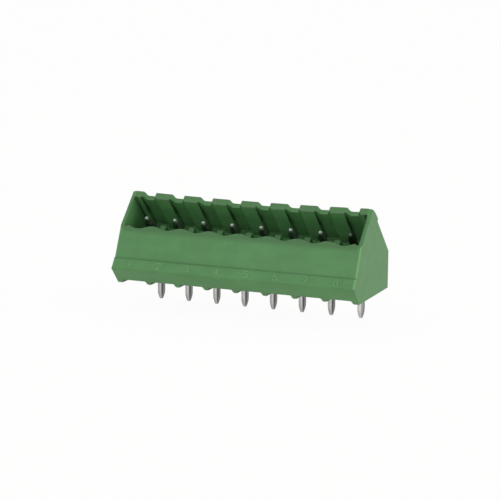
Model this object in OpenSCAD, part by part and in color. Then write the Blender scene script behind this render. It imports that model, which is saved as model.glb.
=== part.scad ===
// Inclined terminal block header for a circuit board: one moulded housing with a plug cavity
// that leans to the front, and a row of bent square contact pins.
// Frame: X along the row, Y to the rear, Z up. Origin on the board, midway along the solder row.

/* [Row] */
// Number of poles
poles = 8; // [2:1:12]
// Distance between neighbouring poles
pitch = 5.08; // [4.9:0.01:7.62]

/* [Plug cavity] */
// Lean of the plug-in direction from upright towards the front, in degrees
plug_tilt = 45; // [42:0.5:48]
// From the origin to the mouth of the cavity, along the plug-in direction
mouth_reach = 12.95; // [12.5:0.05:14]
// Depth of the cavity below its mouth
cavity_depth = 8.25; // [7.5:0.05:8.5]
// Thickness of the cavity floor that grips the pins
floor_t = 1.15; // [0.8:0.05:1.3]
// From the pins' axes to the humps of the front wall
front_reach = 2.65; // [2.3:0.05:3]
// Depth of the hollows between the humps
scallop_depth = 0.6; // [0.4:0.05:0.8]
// Width of the land between the hollows and the front edge of the mouth
front_land = 0.3; // [0.2:0.05:0.5]
// From the pins' axes to the pads of the rear wall
rear_reach = 2.7; // [2.4:0.05:3]
// Width of each pad
pad_w = 2.4; // [2:0.05:2.7]
// Depth of the grooves between the pads
groove_depth = 0.85; // [0.6:0.05:1.1]
// Width of the slots between the outer pads and the end walls
slot_w = 0.5; // [0.3:0.05:0.7]
// Depth of those slots
slot_depth = 0.5; // [0.3:0.05:0.8]
// Thickness of the rear wall behind the grooves
rear_wall = 0.5; // [0.45:0.05:0.8]
// Thickness of the partitions between the poles of the cavity
partition_t = 1; // [0.6:0.05:1.4]
// From the mouth down to the tops of the partitions
partition_drop = 3.4; // [2.5:0.05:5]

/* [Tabs and latch crown] */
// Width of each tab at its top
tab_w = 2.9; // [2.7:0.05:3.2]
// Depth of the notches between the tabs
notch_depth = 0.95; // [0.8:0.05:1.3]
// Width of the notches at their bottoms
notch_w = 1.3; // [0.9:0.05:1.4]
// Radius of the corners of the tabs and notches
tab_r = 0.3; // [0.2:0.05:0.4]
// Width of the chamfer that leads the plug in along the inner edges of the tabs
lead_in = 0.15; // [0.1:0.05:0.4]
// How far the latch crown stands out from the rear wall
crown_out = 0.4; // [0.15:0.05:0.6]
// Height of the latch crown from its shoulder to the mouth
crown_h = 3.2; // [2.4:0.05:4]
// Straight stretch of the crown above its shoulder
crown_flat = 0.65; // [0.3:0.05:1.2]
// How far the crown's round back comes in at the mouth
crown_in = 0.05; // [0.05:0.05:0.4]

/* [Outer walls] */
// From the solder row to the rear face
rear_y = 4; // [3.5:0.05:4.5]
// From the solder row to the nose, the front-most edge
nose_y = 12.8; // [12.5:0.05:13.5]
// Height of the nose above the board
nose_z = 2.95; // [2.5:0.05:3.4]
// Radius of the nose
nose_r = 0.6; // [0.3:0.05:1]
// Radius of the blunt lip between the front face and the mouth
lip_r = 0.4; // [0.2:0.05:1]
// From the solder row to the top edge of the band that carries the position marks
band_y = 11.8; // [11.4:0.05:12.2]
// Height of the top edge of that band above the board
band_z = 4.35; // [4:0.05:4.8]
// How far the band stands out from the front face above it
band_step = 0.25; // [0.1:0.05:0.4]
// Height of the shadow groove between the front face and the band
shadow_h = 0.3; // [0.2:0.05:0.4]
// Depth of that groove
shadow_depth = 0.1; // [0.05:0.01:0.2]
// From the solder row to the front ends of the feet
toe_y = 10.1; // [9.6:0.05:10.6]
// Least thickness of the outer walls
wall = 0.9; // [0.7:0.05:1.1]
// How far each end wall stands out past its outer pole
end_out = 0.6; // [0.4:0.05:1]
// Thickness of the end walls beside the cavity
end_wall = 0.6; // [0.5:0.05:0.9]
// Width of the chamfer along the front edges of the two end faces
end_edge = 0.25; // [0.15:0.05:0.4]

/* [Feet] */
// Height of the feet below the bottom edges of the walls
foot_h = 0.6; // [0.4:0.05:0.8]
// Width of the feet on the board
foot_w = 0.7; // [0.5:0.05:1.1]
// How much wider each side of a foot is at its top
foot_flare = 0.18; // [0.1:0.01:0.4]
// Length of the corner cuts at the bottoms and tops of the feet, along each side
foot_edge = 0.1; // [0.05:0.01:0.15]
// Thickness of the ribs between the pockets under the cavity
rib_t = 0.9; // [0.7:0.05:1.1]

/* [Contact pins] */
// Width and depth of the pins
pin_t = 1; // [0.8:0.05:1.2]
// Chamfer on the long edges of the pins
pin_edge = 0.1; // [0.05:0.01:0.15]
// From the solder row's foot to the pins' slanted axes, square to them
pin_offset = 3.1; // [2.9:0.05:3.3]
// From the mouth down to the tips of the pins
pin_drop = 1.55; // [1:0.05:2.5]
// Inner radius of the bend
bend_r = 0.5; // [0.3:0.05:0.6]
// Length of the pins below the board face
solder_l = 4.5; // [3:0.05:5]
// Width of the flat at each tip
tip_w = 0.4; // [0.3:0.05:0.7]
// Length of the taper at each tip
tip_l = 1.8; // [1:0.05:2.2]
// Clearance on each side of a pin in the housing
pin_clear = 0.02; // [0.01:0.01:0.05]

/* [Hidden] */
$fn = 48;
// Overlap of cuts past the faces that they open
cut = 0.5;
// How far the scrap at a rounded corner reaches past the corner, as a factor
scrap_over = 1.2;
// Size of a rounded corner's circle, which crosses the sides rather than only touching them
round_over = 1.02;
// How far an edge or a bend keeps clear of a neighbouring corner
shy = 0.1;

// Length of the row and of the whole housing
row_l = poles * pitch;
housing_l = row_l + 2 * end_out;
inner_l = housing_l - 2 * end_wall;

// Places square to the plug-in direction, counted rearwards: w
hump_w = pin_offset - front_reach;
hollow_w = hump_w - scallop_depth;
lip_w = hollow_w - front_land;
pad_face_w = pin_offset + rear_reach;
outer_w = pad_face_w + groove_depth + rear_wall;

// Places along the plug-in direction, counted outwards: s
floor_s = mouth_reach - cavity_depth;
under_s = floor_s - floor_t;
shoulder_s = mouth_reach - crown_h;
partition_s = mouth_reach - partition_drop;
pin_tip_s = mouth_reach - pin_drop;

// The front wall's wave: hollows and humps are equal arcs that run into each other
wave_r = (pow(pitch / 2, 2) + pow(scallop_depth, 2)) / (4 * scallop_depth);
wave_mid_w = hollow_w + scallop_depth / 2;

// The crown's round back, an arc that starts upright at the end of the straight stretch
crown_rise = crown_h - crown_flat;
crown_depth = crown_out + crown_in;
crown_r = (pow(crown_rise, 2) + pow(crown_depth, 2)) / (2 * crown_depth);

// Width of the two end tabs
end_tab_w = tab_w / 2 + end_out;

// The pins' pointed ends: radius of the arcs that narrow them
tip_in = (pin_t - tip_w) / 2;
tip_arc_r = (pow(tip_l, 2) + pow(tip_in, 2)) / (2 * tip_in);

// Height of the bend and length of the stretch that the bend takes from each leg
bend_z = pin_offset / sin(plug_tilt);
bend_s = pin_offset / tan(plug_tilt);
bend_axis_r = bend_r + pin_t / 2;
bend_leg = bend_axis_r * tan(plug_tilt / 2);

// Point in the Y-Z plane for a place w, s of the leaning frame
function at(w, s) = [w * cos(plug_tilt) - s * sin(plug_tilt), w * sin(plug_tilt) + s * cos(plug_tilt)];

// X of the middle of a pole, and of the boundary before a pole
function pole_x(i) = (i - (poles + 1) / 2) * pitch;
function boundary_x(i) = pole_x(i) - pitch / 2;

// Unit vector from p to q, and the point where two lines through p, q and r, s cross
function toward(p, q) = (q - p) / norm(q - p);
function crossing(p, q, r, s) =
    let (a = q - p, b = s - r, c = r - p)
    p + a * (c.x * b.y - c.y * b.x) / (a.x * b.y - a.y * b.x);

// Extrudes a Y-Z profile along X, centred on the origin
module along_x(length) {
    rotate([90, 0, 90]) linear_extrude(length, center = true) children();
}

// Turns Y and Z into w and s, so that Z is the plug-in direction
module leaning() {
    rotate([plug_tilt, 0, 0]) children();
}

// The scrap that rounds a corner p, with sides towards a and b, to radius r
module corner_scrap(p, a, b, r) {
    da = toward(p, a);
    db = toward(p, b);
    half = acos(da * db) / 2;
    reach = r / tan(half);
    centre = p + (da + db) / norm(da + db) * r / sin(half);
    arms = [for (q = [p + da * reach, p, p + db * reach]) centre + (q - centre) * scrap_over];
    difference() {
        polygon(concat([centre], arms));
        translate(centre) circle(r * round_over);
    }
}

// Corners of the end profile, in order from the rear bottom edge over the top to the front foot
rear_foot = [rear_y, 0];
rear_top = [rear_y, (outer_w - rear_y * cos(plug_tilt)) / sin(plug_tilt)];
shoulder = at(outer_w, shoulder_s + shy);
crest = at(outer_w - crown_in - shy, mouth_reach);
lip = at(lip_w, mouth_reach);
face_foot = [-band_y + band_step, band_z];
band_top = [-band_y, band_z];
nose = [-nose_y, nose_z];
foot = [-toe_y, 0];

// The housing's end profile, without the latch crown
module outline() {
    difference() {
        polygon([
            rear_foot,
            rear_top,
            shoulder,
            crest,
            lip,
            face_foot + toward(face_foot, lip) * shadow_h,
            face_foot + [shadow_depth, 0],
            band_top,
            nose,
            foot
        ]);
        corner_scrap(lip, crest, face_foot, lip_r);
        corner_scrap(nose, band_top, foot, nose_r);
    }
}

// The latch crown's profile behind one tab
module crown() {
    rotate(plug_tilt) intersection() {
        translate([pad_face_w, shoulder_s])
            square([outer_w + crown_out - pad_face_w, crown_h]);
        translate([outer_w + crown_out - crown_r, shoulder_s + crown_flat])
            circle(crown_r, $fn = 4 * $fn);
    }
}

// The scrap of the end faces' chamfer along the edge from p to q, which runs on past q by over
module end_scrap(p, q, over) {
    along = q - p;
    before = end_edge + cut;
    length = before + norm(along) + over;
    for (side = [0, 1]) mirror([side, 0, 0])
        translate([housing_l / 2, p.x, p.y]) rotate([atan2(along.y, along.x), 0, 0])
        translate([0, length - before, 0]) rotate([90, 0, 0])
        linear_extrude(length) polygon([[-end_edge - cut, -cut], [cut, end_edge + cut], [cut, -cut]]);
}

// The cavity across the plug-in direction: waved front side, grooved rear side with a slot at each end
module cavity_plan() {
    difference() {
        translate([-inner_l / 2, wave_mid_w])
            square([inner_l, pad_face_w - wave_mid_w]);
        for (i = [1:poles + 1])
            translate([boundary_x(i), hump_w - wave_r]) circle(wave_r, $fn = 2 * $fn);
    }
    for (side = [0, 1]) mirror([side, 0])
        translate([inner_l / 2 - slot_w, wave_mid_w])
            square([slot_w, pad_face_w + slot_depth - wave_mid_w]);
    for (i = [1:poles]) {
        intersection() {
            translate([pole_x(i), hollow_w + wave_r]) circle(wave_r, $fn = 2 * $fn);
            translate([boundary_x(i), hollow_w - cut]) square([pitch, scallop_depth + cut]);
        }
        translate([pole_x(i) - (pitch - pad_w) / 2, wave_mid_w])
            square([pitch - pad_w, pad_face_w + groove_depth - wave_mid_w]);
    }
}

// One notch between two tabs, seen along w, with its middle on the origin at the mouth
module notch() {
    top = [(pitch - tab_w) / 2, 0];
    bottom = [notch_w / 2, -notch_depth];
    open = [top.x, cut];
    beside = [top.x + cut, 0];
    below = [0, -notch_depth];
    for (side = [0, 1]) mirror([side, 0]) {
        difference() {
            polygon([[0, cut], open, top, bottom, below]);
            corner_scrap(bottom, top, below, tab_r);
        }
        corner_scrap(top, beside, bottom, tab_r);
    }
}

// The hollow under one pole: behind the front wall and under the cavity's floor
module pocket_profile() {
    along = toward(face_foot, lip);
    inward = [along.y, -along.x] * wall;
    front_y = -toe_y + wall;
    under_front_w = hollow_w - wall;
    corner = at(under_front_w, under_s);
    higher = at(under_front_w, mouth_reach);
    rear_top_w = outer_w - wall;
    front_top = crossing(face_foot + inward, lip + inward, [front_y, 0], [front_y, 1]);
    ridge = crossing(face_foot + inward, lip + inward, corner, higher);
    pocket_rear = crossing(at(rear_top_w, under_s), at(rear_top_w, floor_s),
                           [rear_y - wall, 0], [rear_y - wall, 1]);
    polygon([
        [front_y, -cut],
        front_top,
        ridge,
        corner,
        at(rear_top_w, under_s),
        pocket_rear,
        [rear_y - wall, -cut]
    ]);
}

// The gap between two feet, seen from the front, with its middle on the origin at the board
module foot_gap() {
    bottom = [(pitch - foot_w) / 2, 0];
    top = bottom + [-foot_flare, foot_h];
    up = toward(bottom, top) * foot_edge;
    out = [foot_edge, 0];
    for (side = [0, 1]) mirror([side, 0])
        polygon([
            [0, -cut],
            bottom + out + [0, -cut],
            bottom + out,
            bottom + up,
            top - up,
            top - out,
            [0, foot_h]
        ]);
}

// The moulded housing: its walls and crowns, less the cavity, notches, pockets and edge scraps
module housing() {
    color([0.30, 0.52, 0.32]) difference() {
        union() {
            along_x(housing_l) outline();
            for (i = [2:poles]) translate([boundary_x(i), 0, 0]) along_x(tab_w) crown();
            for (side = [0, 1]) mirror([side, 0, 0])
                translate([(end_tab_w - housing_l) / 2, 0, 0]) along_x(end_tab_w) crown();
        }
        difference() {
            leaning() translate([0, 0, floor_s])
                linear_extrude(cavity_depth + cut) cavity_plan();
            leaning() partitions();
        }
        along_x(inner_l - 2 * shy) rotate(plug_tilt) polygon([
            [pad_face_w - cut, mouth_reach - lead_in - cut],
            [pad_face_w + lead_in + cut, mouth_reach + cut],
            [pad_face_w - cut, mouth_reach + cut]
        ]);
        for (i = [1:poles]) translate([pole_x(i), 0, 0]) {
            leaning() translate([0, outer_w + crown_out + cut, mouth_reach])
                rotate([90, 0, 0])
                linear_extrude(outer_w + crown_out + 2 * cut - pad_face_w) notch();
            pin_way();
            along_x(pitch - rib_t) pocket_profile();
            translate([0, rear_y + cut, 0]) rotate([90, 0, 0])
                linear_extrude(rear_y + nose_y + 2 * cut) foot_gap();
        }
        end_scrap(lip, face_foot, -shy);
        end_scrap(band_top, nose, end_edge);
    }
}

// The partitions that stand on the cavity's floor, from the front wall to the row of pins
module partitions() {
    for (i = [2:poles])
        translate([boundary_x(i) - partition_t / 2, hollow_w, floor_s - cut])
            cube([partition_t, pin_offset - hollow_w, partition_s - floor_s + cut]);
}

// The way kept free for one pin: a square hole in the cavity's floor, and room for its bend and leg
module pin_way() {
    hole = pin_t + 2 * pin_clear;
    leaning() translate([-hole / 2, pin_offset - hole / 2, under_s - cut])
        cube([hole, hole, floor_t + 2 * cut]);
    pin_bend() square(hole, center = true);
    translate([-hole / 2, -hole / 2, -cut]) cube([hole, hole, bend_z - bend_leg + cut]);
}

// Carries a section round the bend of the pin at the origin
module pin_bend() {
    translate([0, -bend_axis_r, bend_z - bend_leg]) rotate([0, 90, 0]) rotate([0, 0, 90])
        rotate_extrude(angle = plug_tilt) translate([bend_axis_r, 0]) children();
}

// The pin's section: a square with broken corners, middle on the origin
module pin_section() {
    h = pin_t / 2;
    e = h - pin_edge;
    polygon([[h, -e], [h, e], [e, h], [-e, h], [-h, e], [-h, -e], [-e, -h], [e, -h]]);
}

// A straight leg that stands on the origin, with a bullet-shaped tip at its top
module pin_leg(length) {
    intersection() {
        linear_extrude(length) pin_section();
        rotate([90, 0, 0]) linear_extrude(2 * pin_t, center = true) pin_side(length);
        rotate([90, 0, 90]) linear_extrude(2 * pin_t, center = true) pin_side(length);
    }
}

// A leg seen from the side: two equal arcs narrow it towards the tip
module pin_side(length) {
    translate([-pin_t / 2, 0]) square([pin_t, length - tip_l]);
    intersection() {
        translate([-pin_t / 2, length - tip_l - cut]) square([pin_t, tip_l + cut]);
        translate([pin_t / 2 - tip_arc_r, length - tip_l]) circle(tip_arc_r, $fn = 4 * $fn);
        translate([tip_arc_r - pin_t / 2, length - tip_l]) circle(tip_arc_r, $fn = 4 * $fn);
    }
}

// One contact pin: a slanted contact leg, the bend and the upright solder leg
module contact_pin(i) {
    color([0.78, 0.78, 0.76]) translate([pole_x(i), 0, 0]) {
        leaning() translate([0, pin_offset, bend_s + bend_leg])
            pin_leg(pin_tip_s - bend_s - bend_leg);
        pin_bend() pin_section();
        translate([0, 0, bend_z - bend_leg]) mirror([0, 0, 1])
            pin_leg(bend_z - bend_leg + solder_l);
    }
}

housing();
for (i = [1:poles])
    contact_pin(i);
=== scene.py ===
"""Looks of the inclined terminal block header: green moulding, tinned pins, raised position numbers."""
import math

import bmesh
import bpy
import numpy as np
from mathutils import Matrix, Vector


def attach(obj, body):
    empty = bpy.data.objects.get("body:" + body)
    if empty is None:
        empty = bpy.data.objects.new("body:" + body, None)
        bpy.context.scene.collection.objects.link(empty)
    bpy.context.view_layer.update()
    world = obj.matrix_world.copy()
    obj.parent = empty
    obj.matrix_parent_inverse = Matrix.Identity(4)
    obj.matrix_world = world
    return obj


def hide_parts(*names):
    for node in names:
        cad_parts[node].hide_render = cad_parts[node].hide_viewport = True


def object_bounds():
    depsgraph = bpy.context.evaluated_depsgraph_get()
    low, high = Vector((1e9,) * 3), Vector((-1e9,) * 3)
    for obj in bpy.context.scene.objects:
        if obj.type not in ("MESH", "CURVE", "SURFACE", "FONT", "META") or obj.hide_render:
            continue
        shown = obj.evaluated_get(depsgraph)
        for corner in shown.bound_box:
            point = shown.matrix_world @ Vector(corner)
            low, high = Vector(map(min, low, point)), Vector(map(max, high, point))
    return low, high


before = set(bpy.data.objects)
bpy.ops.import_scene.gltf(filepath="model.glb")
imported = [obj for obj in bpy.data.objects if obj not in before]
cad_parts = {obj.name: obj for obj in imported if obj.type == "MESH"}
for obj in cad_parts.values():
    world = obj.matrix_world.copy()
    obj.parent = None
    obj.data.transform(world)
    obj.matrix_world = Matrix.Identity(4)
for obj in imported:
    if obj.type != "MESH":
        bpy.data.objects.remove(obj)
cad_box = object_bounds()

# Sizes in millimetres. The cavity leans by 45 degrees and has two directions of its own: across, from
# the front wall to the rear wall (levels end in _W), and outward, from its floor to its mouth (levels
# end in _S).
MM = 0.001
LEAN = math.sqrt(0.5)
POLES = 8
PITCH = 5.08
HALF_L = round(cad_box[1][0] / MM, 3)
END_WALL = 0.6
END_EDGE = 0.25
FOOT_H = 0.6
RIM_Z = 8.84
FRONT_W = -0.45
PAD_W = 5.8
SLOT_W = 6.3
GROOVE_W = 6.65
FLOOR_S = 4.7
NOTCH_S = 12.0
MOUTH_S = 12.95
SOLDER_L = round(-cad_box[0][2] / MM, 3)
PIN_HALF = 0.5
PIN_TIP_S = 11.4

# How moulding shapes the long rear wall: its bow, its rise near the ends and the taper of its grooves
BOW_PULL = 0.22
BOW_RISE = 0.24
BOW_CUTS = 16
RISE_FADE = 0.75
FADE_CUTS = 3
TAPER_FOOT_S = 8.3
TAPERS = {GROOVE_W: 0.42, SLOT_W: 0.28}

# Position numbers on the band under the front face
BAND_TOP = np.array([0, -11.8, 4.35])
NOSE = np.array([0, -12.8, 2.95])
NUMBER_SIZE = np.array([0.85, 1.0])
NUMBER_DROP = 0.82
STROKE_HALF = 0.13
STROKE_RISE = 0.12

# A point this close to a level lies on it, and between these cosines a face comes to be square on
NEAR = 0.005
SQUARE_ON = (0.95, 0.99)


class Value:
    """A shader socket. Arithmetic between values and numbers adds Math nodes to the same tree."""

    def __init__(self, finish, socket):
        self.finish, self.socket = finish, socket

    def math(self, operation, *terms):
        return self.finish.add("Math", {"operation": operation}, dict(enumerate(terms)))

    def __add__(self, other):
        return self.math("ADD", self, other)

    def __radd__(self, other):
        return self.math("ADD", other, self)

    def __sub__(self, other):
        return self.math("SUBTRACT", self, other)

    def __rsub__(self, other):
        return self.math("SUBTRACT", other, self)

    def __mul__(self, other):
        return self.math("MULTIPLY", self, other)

    def __rmul__(self, other):
        return self.math("MULTIPLY", other, self)

    def __neg__(self):
        return self.math("MULTIPLY", self, -1)

    def __abs__(self):
        return self.math("ABSOLUTE", self)

    def ramp(self, low, high):
        """0 below low, 1 above high, and a smooth rise between them."""
        return self.finish.add("MapRange", {"interpolation_type": "SMOOTHSTEP"},
                               {"Value": self, "From Min": low, "From Max": high})

    def fall(self, low, high):
        """1 below low, 0 above high, and a smooth fall between them."""
        return 1 - self.ramp(low, high)


class Finish:
    """A node tree that is being filled: add() makes every node."""

    def __init__(self, tree):
        self.tree = tree
        tree.nodes.clear()

    def add(self, kind, settings=None, sockets=None, out=0):
        """Adds one node: its settings first, then the values or links of its sockets."""
        node = self.tree.nodes.new("ShaderNode" + kind)
        for key, setting in (settings or {}).items():
            setattr(node, key, setting)
        for key, value in (sockets or {}).items():
            if isinstance(value, Value):
                self.tree.links.new(value.socket, node.inputs[key])
            else:
                node.inputs[key].default_value = value
        return Value(self, node.outputs[out]) if node.outputs else node

    def blend(self, factor, low, high):
        """A colour between low and high."""
        return self.add("Mix", {"data_type": "RGBA"}, {"Factor": factor, 6: low, 7: high}, out=2)

    def noise(self, place, scale, detail=2.0, roughness=0.5):
        """Smooth noise from about 0.25 to 0.75, scale in cells per millimetre."""
        return self.add("TexNoise", None, {"Vector": place, "Scale": scale, "Detail": detail,
                                           "Roughness": roughness})

    def millimetres(self, stretch=(1, 1, 1)):
        """The piece's own coordinates in millimetres, stretched along its axes."""
        place = self.add("TexCoord", out=3)
        return self.add("Mapping", None, {"Vector": place, "Scale": [s / MM for s in stretch]})

    def axes(self, vector):
        """The three components of a vector."""
        return [self.add("SeparateXYZ", None, {"Vector": vector}, out=axis) for axis in range(3)]


def new_finish(name):
    """A new material and its empty node tree."""
    material = bpy.data.materials.new(name)
    material.use_nodes = True
    return material, Finish(material.node_tree)


def rgb(red, green, blue):
    """A colour written in 0 to 255 screen values, as a linear shader colour."""
    screen = np.array([red, green, blue]) / 255
    linear = np.where(screen <= 0.04045, screen / 12.92, ((screen + 0.055) / 1.055) ** 2.4)
    return (*linear, 1.0)


def moulding_regions(f, place, flat):
    """The housing's regions as shares, from a point's place and the way its face looks: painted shade on
    the lands round the mouth, painted shade on flanks, chamfers and groove sides, painted light on some
    faces, the mouth's lip and the deep part of the cavity."""
    x, y, z = f.axes(place)
    across = (y + z) * LEAN
    outward = (z - y) * LEAN
    inset = HALF_L - abs(x)
    slope_x, slope_y, slope_z = f.axes(flat)
    sideways = abs(slope_x)
    facing_side = sideways.ramp(*SQUARE_ON)
    facing_out = ((slope_z - slope_y) * LEAN).ramp(*SQUARE_ON)

    between_ends = inset.ramp(END_WALL + 0.05, END_WALL + 0.15)
    rear = across.ramp(PAD_W - 0.8, PAD_W - 0.3)
    lip = outward.ramp(MOUTH_S - 0.3, MOUTH_S - 0.1)
    behind_front = across.ramp(FRONT_W - 0.05, FRONT_W + 0.45)
    before_rear = across.fall(GROOVE_W + 0.05, GROOVE_W + 0.25)
    low_down = outward.ramp(FLOOR_S - 0.4, FLOOR_S - 0.1) * outward.fall(FLOOR_S + 2.5, FLOOR_S + 5.0)
    deep = between_ends * behind_front * before_rear * low_down

    # Painted shade on the lands that face out of the mouth: the front rim's top strip, the rear tabs, the
    # notches and the end walls' rims.
    notch = facing_out * rear * outward.ramp(NOTCH_S - 0.35, NOTCH_S - 0.15) * (1 - lip)
    front_rim = (-slope_y).ramp(0.3, 0.5) * (1 - rear) * z.ramp(RIM_Z - 0.85, RIM_Z + 0.15)
    end_rim = facing_out * lip * (1 - between_ends)
    painted_shade_lands = between_ends * (front_rim + 0.75 * lip * rear + 0.4 * notch) + 0.7 * end_rim

    # Painted shade on the feet's flanks, the lead-in chamfers of the rear tabs and the side faces of the
    # grooves.
    foot_flank = z.fall(FOOT_H - 0.1, FOOT_H + 0.2) * sideways.ramp(0.15, 0.4)
    lead_in = rear * lip * (-slope_y).ramp(0.9, 0.97)
    past_pads = across.ramp(PAD_W - 0.05, PAD_W + 0.05)
    groove_side = past_pads * outward.ramp(FLOOR_S, FLOOR_S + 0.1) * facing_side
    painted_shade_sides = between_ends * (0.85 * foot_flank + 0.6 * lead_in + 0.6 * groove_side)

    # Painted light on the chamfers at the end walls' edges, in the deep part of the cavity and on the
    # upper inner faces of the end walls.
    end_edge = inset.fall(END_EDGE, END_EDGE + 0.1) * sideways.ramp(0.3, 0.5) * sideways.fall(0.9, 0.97)
    end_inside = inset.ramp(END_WALL - 0.2, END_WALL - 0.1) * inset.fall(END_WALL + 0.1, END_WALL + 0.2)
    inner_face = end_inside * facing_side * outward.ramp(FLOOR_S + 3.5, MOUTH_S)
    painted_light_faces = end_edge + 0.4 * deep + 0.5 * inner_face
    return painted_shade_lands, painted_shade_sides, painted_light_faces, lip, deep


def green_moulding(name, low, high):
    """Satin green polyamide between two tones: flow clouds along the row, speckled filler and a
    spark-eroded grain. Edges get a painted highlight and inner corners painted shade, and some regions of
    the housing get painted shade and others painted light."""
    material, f = new_finish(name)
    place = f.millimetres()
    flow = f.noise(f.millimetres((0.12, 0.5, 0.5)), 1.0, 3.0)
    cloud = f.noise(place, 0.45, 2.0)
    speck = f.noise(place, 7.0, 1.0)
    tone = (0.45 * flow + 0.35 * cloud + 0.2 * speck).ramp(0.38, 0.62)
    flat = f.add("NewGeometry", out="True Normal")
    # A painted highlight lightens edges, where the bevelled normal turns away from the flat one.
    rounded = f.add("Bevel", {"samples": 8}, {"Radius": 0.2 * MM})
    square = f.add("VectorMath", {"operation": "DOT_PRODUCT"}, {0: rounded, 1: flat}, out=1)
    painted_edge_highlight = (1 - square).ramp(0.02, 0.2)
    # Painted shade: ambient occlusion darkens inner corners, much less in the deep part of the cavity.
    open_air = f.add("AmbientOcclusion", {"samples": 8, "only_local": True},
                     {"Distance": 3.0 * MM}, out="AO")
    painted_shade_lands, painted_shade_sides, painted_light_faces, lip, deep = moulding_regions(f, place, flat)
    corner = open_air.fall(0.2, 0.9) * (1 - 0.9 * deep)
    colour = f.blend(tone, low, high)
    # Painted shade on the lands round the mouth.
    colour = f.blend(painted_shade_lands, colour, rgb(66, 112, 64))
    # Painted shade in inner corners and on flanks, chamfers and groove sides.
    colour = f.blend(0.5 * corner + painted_shade_sides, colour, rgb(32, 60, 32))
    # Painted highlight on edges and painted light on some faces.
    colour = f.blend(0.35 * painted_edge_highlight * (1 - lip) + painted_light_faces, colour, rgb(104, 160, 102))
    grain = f.noise(place, 9.0, 3.0, 0.6)
    bump = f.add("Bump", None, {"Strength": 0.25, "Distance": 0.012 * MM, "Height": grain,
                                "Normal": rounded})
    rough = 0.44 + 0.1 * cloud + 0.06 * speck
    shader = f.add("BsdfPrincipled", None, {"Base Color": colour, "Roughness": rough, "Normal": bump,
                                            "IOR": 1.5})
    f.add("OutputMaterial", None, {"Surface": shader})
    return material


def tin_plate(name, middle_x, lit_solder_shaded_contact):
    """Tin plate on a square pin. The solder leg has bright drawn faces front and rear with a painted
    highlight stripe, rougher sheared sides darkened by painted shade, painted dark reflections along its
    edges and painted shade just under the housing and on its taper, and the contact leg is painted a
    darker grey as shade, with a painted highlight on its tip. On the last pin (1, otherwise 0) the solder
    leg gets more painted light and the contact leg more painted shade."""
    material, f = new_finish(name)
    place = f.millimetres()
    x, y, z = f.axes(place)
    right = (x - middle_x) * (1 / PIN_HALF)
    back = y * (1 / PIN_HALF)
    outward = (z - y) * LEAN
    drawn = f.noise(f.millimetres((14.0, 1.2, 1.2)), 1.0, 2.0)
    stain = f.noise(place, 1.6, 3.0, 0.6)
    patch = stain.ramp(0.35, 0.65)
    streak = (0.5 * drawn + 0.5 * stain).ramp(0.35, 0.65)
    slope_x = f.axes(f.add("NewGeometry", out="True Normal"))[0]
    side = abs(slope_x).ramp(0.8, 0.93)

    # The stripe towards the front face's middle is a painted highlight, and the last pin's solder leg
    # gets painted light; the streaks are the drawn grain and stains.
    grain_and_painted_sheen = 0.4 * lit_solder_shaded_contact + 0.55 * right.ramp(-0.4, 0.0) + 0.3 * streak
    bright = f.blend(grain_and_painted_sheen, rgb(154, 154, 152), rgb(212, 212, 209))
    # The sides' darker tone is painted shade over stain patches.
    stained_shaded_sides = f.blend(patch, rgb(116, 116, 114), rgb(130, 130, 127))
    # Painted dark reflections: a band right of the front face's middle, a fainter one at its left edge
    # and bands along the edges of the sides, gathered in edge.
    face_dark_reflection = right.ramp(0.12, 0.6) + 0.4 * (-right).ramp(0.72, 0.92)
    side_dark_reflection = back.ramp(0.1, 0.6) + (-back).ramp(0.64, 0.84)
    edge = (1 - side) * face_dark_reflection + side * side_dark_reflection
    # Painted shade just under the housing and on the solder leg's taper.
    painted_shade_ends = 0.35 * z.ramp(-1.5, -0.4) + 0.3 * (-z).ramp(SOLDER_L - 1.5, SOLDER_L - 0.4)
    colour = f.blend(side, bright, stained_shaded_sides)
    colour = f.blend((1 - 0.4 * lit_solder_shaded_contact) * edge, colour, rgb(88, 88, 87))
    colour = f.blend(painted_shade_ends, colour, rgb(84, 84, 82))

    # The contact leg's darker grey is painted shade of the cavity, and its tip gets a painted highlight.
    contact = z.ramp(0.0, 0.6)
    tip = outward.ramp(PIN_TIP_S - 0.5, PIN_TIP_S - 0.15)
    shaded_contact_grey = f.blend(patch, rgb(122, 126, 122), rgb(148, 152, 148))
    colour = f.blend(contact, colour, shaded_contact_grey)
    colour = f.blend(tip, colour, rgb(172, 180, 172))
    # Painted shade on the last pin's contact leg.
    colour = f.blend(0.9 * lit_solder_shaded_contact * contact, colour, rgb(84, 88, 84))
    bump = f.add("Bump", None, {"Strength": 0.3, "Distance": 0.006 * MM, "Height": drawn})
    rough = 0.24 + 0.16 * stain + 0.12 * side + 0.25 * tip
    shader = f.add("BsdfPrincipled", None, {"Base Color": colour, "Metallic": 1.0, "Roughness": rough,
                                            "Normal": bump})
    f.add("OutputMaterial", None, {"Surface": shader})
    return material


def faces_at(shape, level, straight=0.999):
    """The flat faces of the rear wall that look into the cavity at a level across it."""
    return [face for face in shape.faces if abs(face.normal.y + face.normal.z) * LEAN > straight
            and all(abs((vertex.co.y + vertex.co.z) * LEAN / MM - level) < NEAR for vertex in face.verts)]


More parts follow.
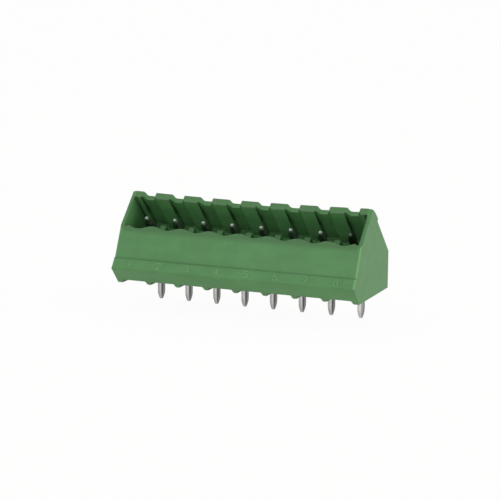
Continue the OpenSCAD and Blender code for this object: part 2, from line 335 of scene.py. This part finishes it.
def taper_grooves(shape):
    """Leans the faces of the rear wall's grooves and end slots into the cavity: above a line some way
    down, each point moves by its share of the way from that line to the notches, times the taper."""
    foot = TAPER_FOOT_S * LEAN * MM
    for level, taper in TAPERS.items():
        parts = {part for face in faces_at(shape, level) for part in [face, *face.edges, *face.verts]}
        bmesh.ops.bisect_plane(shape, geom=list(parts), plane_co=(0, -foot, foot), plane_no=(0, -1, 1))
        for vertex in {vertex for face in faces_at(shape, level) for vertex in face.verts}:
            outward = (vertex.co.z - vertex.co.y) * LEAN / MM
            share = max((outward - TAPER_FOOT_S) / (NOTCH_S - TAPER_FOOT_S), 0)
            vertex.co += Vector((0, -1, -1)) * (share * taper * LEAN * MM)


def bow_rear_wall(shape):
    """Bends the free edge of the long rear wall, as such a wall shrinks in its mould. The pull into the
    cavity is a parabola along the row, which is 0 at both ends, and the rise along the plug-in direction
    is the rest of that parabola, which fades out in the end walls. Both grow as the square of the height
    above the cavity's floor."""
    fade_steps = np.linspace(0, RISE_FADE, FADE_CUTS + 1)[1:]
    near_ends = [end * (HALF_L - step) for step in fade_steps for end in (-1, 1)]
    for x in [*np.linspace(-HALF_L, HALF_L, BOW_CUTS + 2)[1:-1], *near_ends]:
        parts = [*shape.verts, *shape.edges, *shape.faces]
        bmesh.ops.bisect_plane(shape, geom=parts, plane_co=(x * MM, 0, 0), plane_no=(1, 0, 0))
    place = np.array([vertex.co for vertex in shape.verts]) / MM
    across = (place[:, 1] + place[:, 2]) * LEAN
    outward = (place[:, 2] - place[:, 1]) * LEAN
    height = np.clip((outward - FLOOR_S) / (MOUTH_S - FLOOR_S), 0, 1)
    share = np.clip((place[:, 0] / HALF_L) ** 2, 0, 1)
    fade = np.clip((HALF_L - abs(place[:, 0])) / RISE_FADE, 0, 1)
    grip = height ** 2 * (across > PAD_W - NEAR)
    pull = np.outer(BOW_PULL * (1 - share) * grip, [0, -1, -1])
    rise = np.outer(BOW_RISE * share * fade * grip, [0, -1, 1])
    moved = (place + (pull + rise) * LEAN) * MM
    for vertex, point in zip(shape.verts, moved):
        vertex.co = point


def smooth_copy(node, name, bends=(), merge=0.004 * MM, crease=math.radians(24)):
    """A merged copy of a solid's mesh, bent in turn, smooth over its arcs and sharp at its corners."""
    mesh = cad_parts[node].data.copy()
    mesh.name = name
    shape = bmesh.new()
    shape.from_mesh(mesh)
    bmesh.ops.remove_doubles(shape, verts=shape.verts, dist=merge)
    bmesh.ops.dissolve_degenerate(shape, edges=shape.edges, dist=merge)
    for bend in bends:
        bend(shape)
    for face in shape.faces:
        face.smooth = True
    for edge in shape.edges:
        edge.smooth = edge.is_manifold and edge.calc_face_angle(0) < crease
    shape.to_mesh(mesh)
    shape.free()
    mesh.materials.clear()
    piece = bpy.data.objects.new(name, mesh)
    bpy.context.scene.collection.objects.link(piece)
    return piece


def line(start, end, count=24):
    """Points on a straight stroke: the start plus a share of the way to the end."""
    share = np.linspace(0, 1, count)[:, None]
    return np.array(start) * (1 - share) + np.array(end) * share


def arc(middle, radii, first, last, count=48):
    """Points on an elliptical stroke: the middle plus each radius times the angle's cosine or sine."""
    angle = np.radians(np.linspace(first, last, count))
    return np.array(middle) + np.c_[radii[0] * np.cos(angle), radii[1] * np.sin(angle)]


def number_strokes():
    """The strokes of the numbers 1 to 8, one list a number, in a square whose side is about 1."""
    return [
        [line((-0.28, 0.26), (0.04, 0.5)), line((0.04, 0.5), (0.04, -0.5))],
        [arc((0, 0.2), (0.42, 0.3), 165, -35), line((0.344, 0.028), (-0.44, -0.5)),
         line((-0.44, -0.5), (0.44, -0.5))],
        [arc((0, 0.26), (0.38, 0.24), 150, -90), arc((0, -0.24), (0.42, 0.26), 90, -150)],
        [line((0.16, 0.5), (-0.46, -0.2)), line((-0.46, -0.2), (0.46, -0.2)),
         line((0.16, 0.5), (0.16, -0.5))],
        [line((0.38, 0.5), (-0.3, 0.5)), line((-0.3, 0.5), (-0.36, 0.04)),
         arc((0, -0.17), (0.42, 0.33), 140, -150)],
        [arc((0, -0.2), (0.4, 0.3), 180, 540), arc((0.3, -0.2), (0.7, 0.7), 180, 98)],
        [line((-0.42, 0.5), (0.42, 0.5)), line((0.42, 0.5), (-0.12, -0.5))],
        [arc((0, 0.25), (0.34, 0.25), -90, 270), arc((0, -0.25), (0.42, 0.25), 90, 450)],
    ]


def raised_stroke(path, half_width, rise, sides=12):
    """A closed bead along a path in a plane. Each ring is an ellipse, half_width across the path and
    rise out of the plane, shrunk near both ends as a circle does, and one point closes each end."""
    step = np.linalg.norm(np.diff(path, axis=0), axis=1)
    run = np.r_[0, np.cumsum(step)]
    near = np.minimum(np.minimum(run, run[-1] - run) / half_width, 1)
    size = np.sqrt(np.maximum(1 - (1 - near) ** 2, 0))[1:-1, None]
    ahead = np.gradient(path, axis=0)
    ahead /= np.linalg.norm(ahead, axis=1)[:, None]
    across = np.c_[-ahead[:, 1], ahead[:, 0]][1:-1]
    turn = np.linspace(0, 2 * np.pi, sides, endpoint=False)
    flat = path[1:-1, None] + across[:, None] * (half_width * size * np.cos(turn))[..., None]
    rings = np.concatenate([flat, (rise * size * np.sin(turn))[..., None]], axis=2)
    count = len(rings)
    points = np.concatenate([rings.reshape(-1, 3), np.c_[path[[0, -1]], [0, 0]]])
    ring, spoke = np.meshgrid(np.arange(count - 1), np.arange(sides), indexing="ij")
    after = (spoke + 1) % sides
    quads = np.stack([ring * sides + spoke, ring * sides + after,
                      (ring + 1) * sides + after, (ring + 1) * sides + spoke], -1).reshape(-1, 4)
    start, end = count * sides, count * sides + 1
    rim = np.arange(sides)
    first = np.c_[(rim + 1) % sides, rim, np.full(sides, start)]
    far = (count - 1) * sides
    last = np.c_[far + rim, far + (rim + 1) % sides, np.full(sides, end)]
    return points, quads, np.concatenate([first, last])


def pole_x(pole):
    """The place of a pole along the row, counted from 0."""
    return (pole - (POLES - 1) / 2) * PITCH


def raised_numbers(name):
    """The position numbers on the band: a stroke's plane runs along the row and up the band,
    its rise goes out square to the band, and the strokes of all poles are gathered in one mesh."""
    along = np.array([1, 0, 0])
    up = (BAND_TOP - NOSE) / np.linalg.norm(BAND_TOP - NOSE)
    axes = np.array([along, up, np.cross(along, up)])
    points, faces, total = [], [], 0
    for pole, strokes in enumerate(number_strokes()):
        middle = BAND_TOP - up * NUMBER_DROP + along * pole_x(pole)
        for stroke in strokes:
            bead, quads, fans = raised_stroke(stroke * NUMBER_SIZE, STROKE_HALF, STROKE_RISE)
            points.append((middle + bead @ axes) * MM)
            faces += (quads + total).tolist() + (fans + total).tolist()
            total += len(bead)
    mesh = bpy.data.meshes.new(name)
    mesh.from_pydata(np.concatenate(points).tolist(), [], faces)
    mesh.polygons.foreach_set("use_smooth", np.ones(len(faces), bool))
    mesh.update()
    piece = bpy.data.objects.new(name, mesh)
    bpy.context.scene.collection.objects.link(piece)
    return piece


def dress(piece, finish):
    """Gives a piece its finish in a material slot and the body that it rides on."""
    piece.data.materials.append(finish)
    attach(piece, "root")


def seen(f):
    """1 for rays that show the background: straight to the camera, in a gloss or through glass."""
    straight = f.add("LightPath", out="Is Camera Ray")
    gloss = f.add("LightPath", out="Is Glossy Ray")
    through = f.add("LightPath", out="Is Transmission Ray")
    return straight.math("MAXIMUM", straight.math("MAXIMUM", straight, gloss), through)


def pale_floor(half=2.0, white_share=0.96):
    """A pale floor level with the pins' tips, half its side in metres. A share of what shows of it is
    plain white, and the rest is its own tone, in which the part's shadow stays faintly visible."""
    mesh = bpy.data.meshes.new("floor")
    corners = np.array([[-1, -1], [1, -1], [1, 1], [-1, 1]]) * half
    mesh.from_pydata(np.c_[corners, np.full(4, -SOLDER_L * MM)].tolist(), [], [[0, 1, 2, 3]])
    floor = bpy.data.objects.new("floor", mesh)
    bpy.context.scene.collection.objects.link(floor)
    material, f = new_finish("pale_floor")
    paper = f.add("BsdfDiffuse", None, {"Color": (0.88, 0.88, 0.76, 1)})
    white = f.add("Emission", None, {"Color": (1, 1, 1, 1), "Strength": 1.0})
    shader = f.add("MixShader", None, {0: seen(f) * white_share, 1: paper, 2: white})
    f.add("OutputMaterial", None, {"Surface": shader})
    mesh.materials.append(material)


def tent_light(level):
    """An even white surround: the level lights the part, and it shows as plain white."""
    world = bpy.data.worlds.new("tent")
    world.use_nodes = True
    f = Finish(world.node_tree)
    strength = level + (1 - level) * seen(f)
    surround = f.add("Background", None, {"Color": (1, 1, 1, 1), "Strength": strength})
    f.add("OutputWorld", None, {"Surface": surround})
    bpy.context.scene.world = world


def soft_panel(name, azimuth, elevation, size, power, tint=(1, 1, 1)):
    """A square soft light round the part: degrees to the right of its front, degrees up, side in mm."""
    middle, distance = Vector((0, -4, 5)), 560
    turn, rise = math.radians(azimuth), math.radians(elevation)
    way = Vector((math.sin(turn) * math.cos(rise), -math.cos(turn) * math.cos(rise), math.sin(rise)))
    lamp = bpy.data.lights.new(name, "AREA")
    lamp.size, lamp.energy, lamp.color = size * MM, power, tint
    panel = bpy.data.objects.new(name, lamp)
    panel.location = (middle + way * distance) * MM
    panel.rotation_euler = (-way).to_track_quat("-Z", "Y").to_euler()
    bpy.context.scene.collection.objects.link(panel)


def photo_camera():
    """A camera on a sphere round the part: azimuth, elevation and roll set its axes, and two small
    shifts along them set its place."""
    azimuth, elevation, roll = np.radians([22.3, 11.214, 0.427])
    aim, distance, shift = np.array([0, 3.96, 5.0]), 330.865, (3.096, 0.475)
    focal_px, frame_px, sensor = 1990.418, 500, 36.0
    back = np.array([math.sin(azimuth) * math.cos(elevation), -math.cos(azimuth) * math.cos(elevation),
                     math.sin(elevation)])
    level = np.array([math.cos(azimuth), math.sin(azimuth), 0])
    upright = np.cross(back, level)
    right = math.cos(roll) * level + math.sin(roll) * upright
    up = math.cos(roll) * upright - math.sin(roll) * level
    place = aim + back * distance - right * shift[0] - up * shift[1]
    lens = bpy.data.cameras.new("photo_camera")
    lens.sensor_fit, lens.sensor_width = "HORIZONTAL", sensor
    lens.lens = focal_px * sensor / frame_px
    lens.clip_start, lens.clip_end = 0.01, 10.0
    camera = bpy.data.objects.new("photo_camera", lens)
    turn = np.eye(4)
    turn[:3, :3] = np.c_[right, up, back]
    turn[:3, 3] = place * MM
    camera.matrix_world = Matrix(turn.tolist())
    bpy.context.scene.collection.objects.link(camera)
    bpy.context.scene.camera = camera


green = green_moulding("green_moulding", rgb(75, 128, 75), rgb(82, 137, 82))
# The numbers get a lighter copy of the green moulding: painted light on the raised strokes.
painted_light_green = green_moulding("pale_green_numbers", rgb(98, 148, 97), rgb(105, 155, 104))
moulding = smooth_copy("housing", "housing_moulding", [taper_grooves, bow_rear_wall])
dress(moulding, green)
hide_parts("housing")
dress(raised_numbers("position_numbers"), painted_light_green)
for pole in range(POLES):
    # The last pin gets painted light on its solder leg and painted shade on its contact leg.
    lit_solder_shaded_contact = 1.0 if pole == POLES - 1 else 0.0
    plate = tin_plate(f"tin_plate_{pole + 1}", pole_x(pole), lit_solder_shaded_contact)
    pin = smooth_copy(f"contact_pin_{pole + 1}", f"tinned_pin_{pole + 1}")
    dress(pin, plate)
    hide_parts(f"contact_pin_{pole + 1}")

bpy.context.scene.view_settings.view_transform = "Standard"
photo_camera()
pale_floor()
tent_light(level=0.75)
soft_panel("front_panel", azimuth=0, elevation=10, size=180, power=0.5)
soft_panel("side_panel", azimuth=92, elevation=4, size=420, power=0.94, tint=(1.0, 0.96, 0.8))
